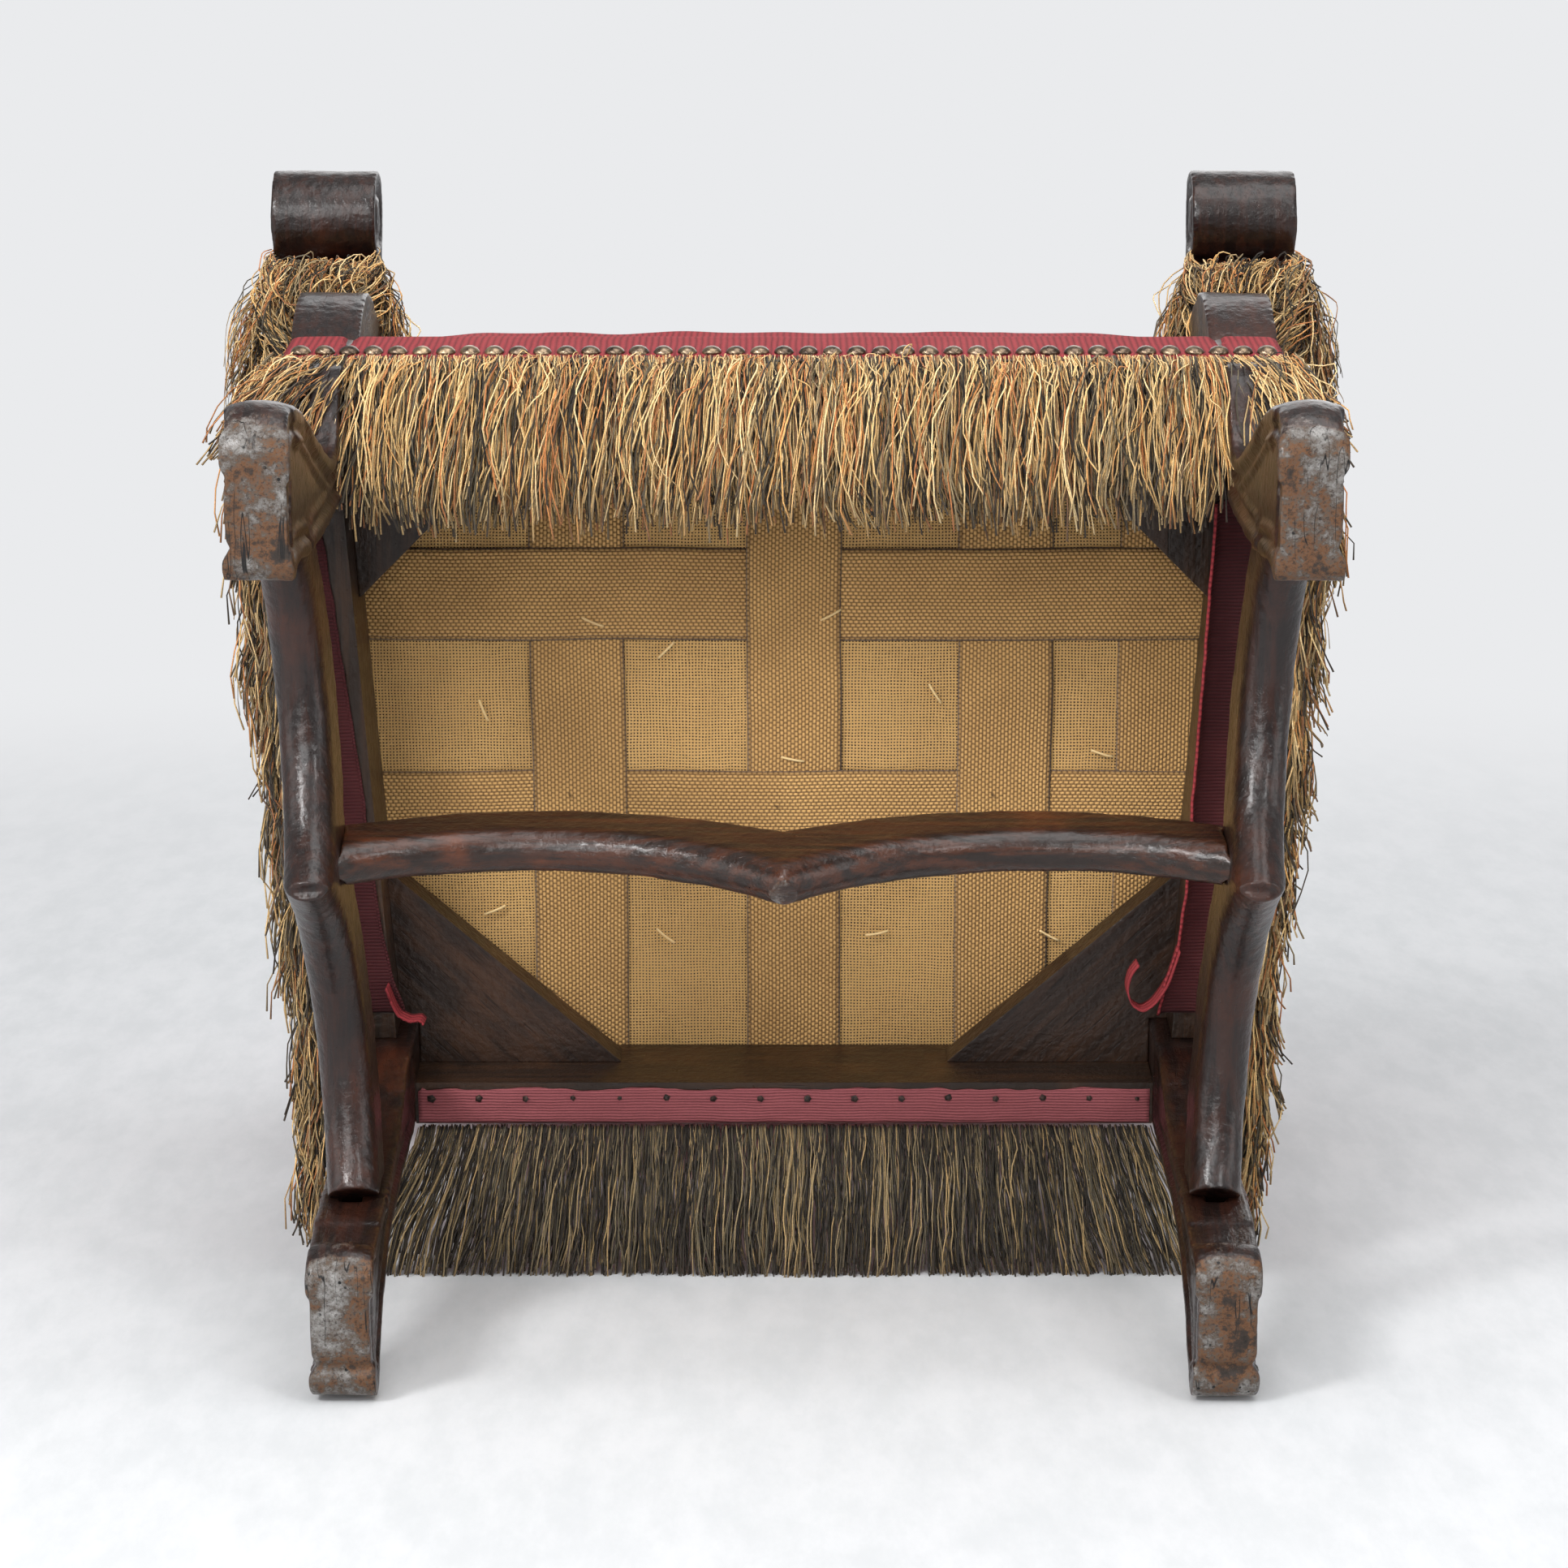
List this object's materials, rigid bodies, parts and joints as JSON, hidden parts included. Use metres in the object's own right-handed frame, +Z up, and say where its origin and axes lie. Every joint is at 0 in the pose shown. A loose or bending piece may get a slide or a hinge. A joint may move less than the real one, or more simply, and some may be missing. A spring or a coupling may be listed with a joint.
{
  "type": "upholstered baroque armchair",
  "caption": "Upholstered armchair with S-shaped carved legs, an H-stretcher of double arches, scrolled padded arms, webbed seat, ribbed cover, domed nails and long cord fringe",
  "frame": {"origin": "middle of the bounding box at floor level, between the feet", "axes": "+X to the sitter's left when seated facing -Y, so that the viewer in front sees +X on the right; the sitter faces -Y; +Z up"},
  "size_m": [0.7436, 0.8018, 1.1379],
  "materials": {
    "wood": "dark stained and waxed, worn reddish at the edges",
    "webbing": "herringbone jute webbing",
    "burlap": "open plain-weave burlap",
    "stuffing": "felted fibre stuffing",
    "cover": "ribbed cloth",
    "cover_reverse": "reverse of the ribbed cloth",
    "nails": "aged, with worn high spots",
    "tacks": "blackened iron",
    "fringe": "spun cord in mixed straw, ochre, olive and dark shades"
  },
  "bodies": {
    "root": {"front_leg_left": "wood", "front_leg_right": "wood", "rear_leg_left": "wood", "rear_leg_right": "wood", "side_stretcher_left": "wood", "side_stretcher_right": "wood", "cross_stretcher": "wood", "front_rail": "wood", "rear_rail": "wood", "side_rail_left": "wood", "side_rail_right": "wood", "front_corner_block_left": "wood", "front_corner_block_right": "wood", "rear_corner_block_left": "wood", "rear_corner_block_right": "wood", "arm_left": "wood", "arm_right": "wood", "arm_support_left": "wood", "arm_support_right": "wood", "back_bottom_rail": "wood", "back_top_rail": "wood", "stretcher_pegs": "wood", "webbing_long_left": "webbing", "webbing_long_middle": "webbing", "webbing_long_right": "webbing", "webbing_long_far_right": "webbing", "webbing_cross_front": "webbing", "webbing_cross_rear": "webbing", "burlap": "burlap", "seat_stuffing": "stuffing", "seat_cover": "cover", "turned_under_strip": "cover_reverse", "tacks": "tacks", "loose_cover_edge_left": "cover_reverse", "loose_cover_edge_right": "cover_reverse", "front_nails": "nails", "side_nails_left": "nails", "side_nails_right": "nails", "front_fringe": "fringe", "rear_fringe": "fringe", "side_fringe_left": "fringe", "side_fringe_right": "fringe", "arm_pad_left": "stuffing", "arm_pad_right": "stuffing", "arm_cover_left": "cover", "arm_cover_right": "cover", "arm_nails_left": "nails", "arm_nails_right": "nails", "arm_fringe_left": "fringe", "arm_fringe_right": "fringe", "back_webbing_long": "webbing", "back_webbing_cross": "webbing", "back_stuffing": "stuffing", "back_cover": "cover", "outside_back_cover": "cover", "back_nails": "nails"}
  },
  "joints": []
}
